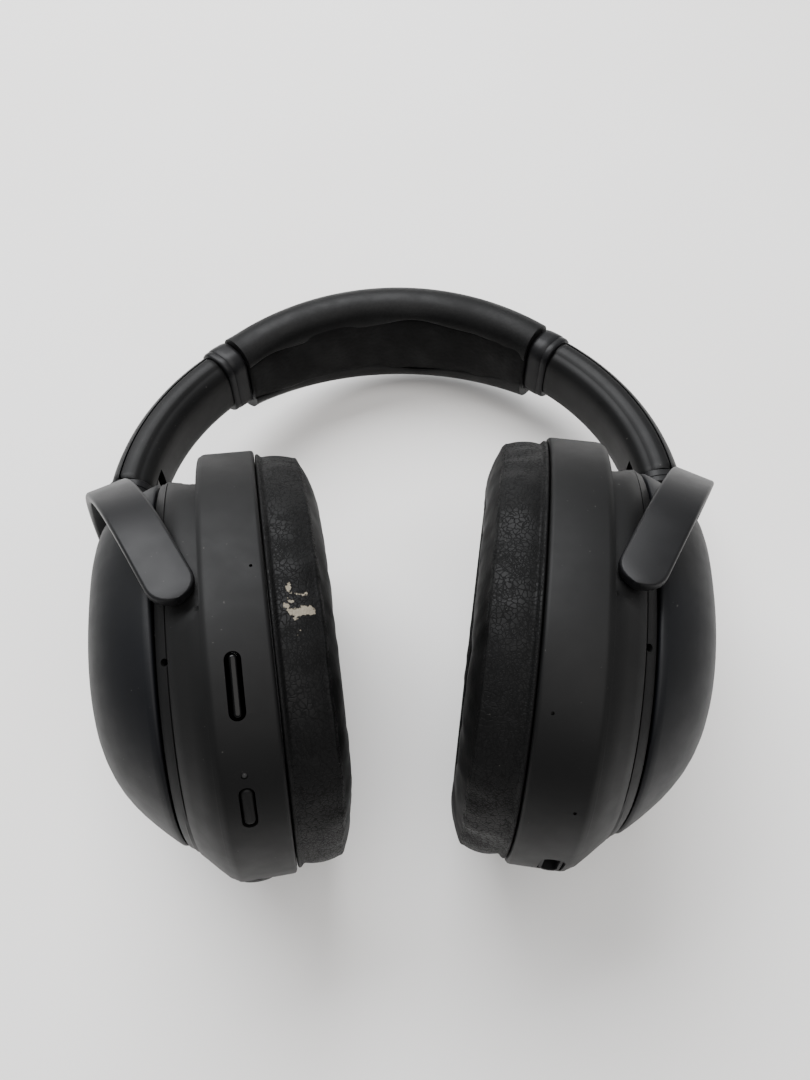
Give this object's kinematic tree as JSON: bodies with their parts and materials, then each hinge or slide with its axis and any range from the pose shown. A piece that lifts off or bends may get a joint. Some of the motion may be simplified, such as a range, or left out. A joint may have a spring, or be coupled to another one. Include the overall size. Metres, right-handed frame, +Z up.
{
  "type": "over ear headphones",
  "caption": "Folding over ear headphones with oval ear cups on swivelling yokes, a sliding padded headband and rear edge buttons.",
  "frame": {"origin": "on the table under the middle of the object's bounding box", "axes": "+X across to the right ear cup's side of the picture, +Y from the ear cups towards the headband's crown, +Z up from the table, which is the rear side of the headphones"},
  "size_m": [0.1576, 0.1732, 0.0893],
  "materials": {
    "soft_touch_plastic": "soft-touch matte black",
    "satin_plastic": "satin dark grey",
    "gloss_plastic": "gloss black",
    "leather": "black synthetic leather",
    "steel": "plain steel",
    "inner_plastic": "matte dark grey",
    "cloth": "black woven cloth",
    "circuit_board": "green solder mask",
    "battery_wrap": "grey film",
    "light_pipe": "frosted clear",
    "brass": "plated"
  },
  "bodies": {
    "headband": {"headband_collar_left": "satin_plastic", "headband_collar_right": "satin_plastic", "headband_cover": "soft_touch_plastic", "headband_cushion": "leather", "headband_liner": "inner_plastic", "headband_spring": "steel"},
    "arm_left": {"slider_strip_left": "steel", "arm_outer_cover_left": "soft_touch_plastic", "arm_inner_cover_left": "soft_touch_plastic", "fold_pin_left": "steel"},
    "knuckle_left": {"hinge_knuckle_left": "satin_plastic"},
    "yoke_left": {"yoke_left": "satin_plastic", "swivel_pin_left": "steel", "yoke_pivot_pin_rear_left": "steel", "yoke_pivot_pin_front_left": "steel"},
    "cup_left": {"cup_housing_left": "soft_touch_plastic", "outer_plate_left": "soft_touch_plastic", "ear_cushion_left": "leather", "cushion_mounting_ring_left": "inner_plastic", "driver_cloth_left": "cloth", "baffle_left": "inner_plastic", "driver_frame_left": "inner_plastic", "driver_diaphragm_left": "cloth", "driver_magnet_left": "steel", "microphone_left": "brass", "status_light_pipe": "light_pipe", "headphone_jack_socket": "inner_plastic", "battery": "battery_wrap", "button_board": "circuit_board"},
    "arm_right": {"slider_strip_right": "steel", "arm_outer_cover_right": "soft_touch_plastic", "arm_inner_cover_right": "soft_touch_plastic", "fold_pin_right": "steel"},
    "knuckle_right": {"hinge_knuckle_right": "satin_plastic"},
    "yoke_right": {"yoke_right": "satin_plastic", "swivel_pin_right": "steel", "yoke_pivot_pin_rear_right": "steel", "yoke_pivot_pin_front_right": "steel"},
    "cup_right": {"cup_housing_right": "soft_touch_plastic", "outer_plate_right": "soft_touch_plastic", "ear_cushion_right": "leather", "cushion_mounting_ring_right": "inner_plastic", "driver_cloth_right": "cloth", "baffle_right": "inner_plastic", "driver_frame_right": "inner_plastic", "driver_diaphragm_right": "cloth", "driver_magnet_right": "steel", "microphone_right": "brass", "charging_socket": "steel", "main_board": "circuit_board", "power_board": "circuit_board"},
    "mode_button": {"mode_button": "gloss_plastic"},
    "power_button": {"power_button": "soft_touch_plastic"}
  },
  "joints": [
    {"name": "slider_left", "type": "hinge", "parent": "headband", "child": "arm_left", "pos_m": [0.05683, -0.0474, 0.04508], "axis": [0.0513, 0.2236, 0.9733], "range_deg": [0, 8.4]},
    {"name": "fold_left", "type": "hinge", "parent": "arm_left", "child": "knuckle_left", "pos_m": [-0.06685, 0.01276, 0.03777], "axis": [0.0513, 0.2236, 0.9733], "range_deg": [0, 11]},
    {"name": "swivel_left", "type": "hinge", "parent": "knuckle_left", "child": "yoke_left", "pos_m": [-0.07005, 0.00457, 0.03982], "axis": [-0.0118, 0.9747, -0.2233], "range_deg": [-94.5, 10.5]},
    {"name": "tilt_left", "type": "hinge", "parent": "yoke_left", "child": "cup_left", "pos_m": [-0.0466, -0.04276, 0.0476], "axis": [-0.1295, -0.2229, -0.9662], "range_deg": [-3, 12]},
    {"name": "slider_right", "type": "hinge", "parent": "headband", "child": "arm_right", "pos_m": [-0.05527, -0.0474, 0.05098], "axis": [0.0513, 0.2236, 0.9733], "range_deg": [-8.4, 0]},
    {"name": "fold_right", "type": "hinge", "parent": "arm_right", "child": "knuckle_right", "pos_m": [0.06696, 0.01276, 0.03072], "axis": [0.0513, 0.2236, 0.9733], "range_deg": [-11, 0]},
    {"name": "swivel_right", "type": "hinge", "parent": "knuckle_right", "child": "yoke_right", "pos_m": [0.07036, 0.00457, 0.03242], "axis": [-0.0118, 0.9747, -0.2233], "range_deg": [-15, 90]},
    {"name": "tilt_right", "type": "hinge", "parent": "yoke_right", "child": "cup_right", "pos_m": [0.04788, -0.04236, 0.04439], "axis": [-0.0513, -0.2236, -0.9733], "range_deg": [-12, 3]},
    {"name": "mode_button_press", "type": "slide", "parent": "cup_left", "child": "mode_button", "axis": [-0.1903, 0.1951, -0.9621], "range_m": [0, 0.0005], "stiffness_N_per_m": 1500},
    {"name": "power_button_press", "type": "slide", "parent": "cup_left", "child": "power_button", "axis": [-0.2169, 0.711, -0.6689], "range_m": [0, 0.0005], "stiffness_N_per_m": 1500}
  ]
}
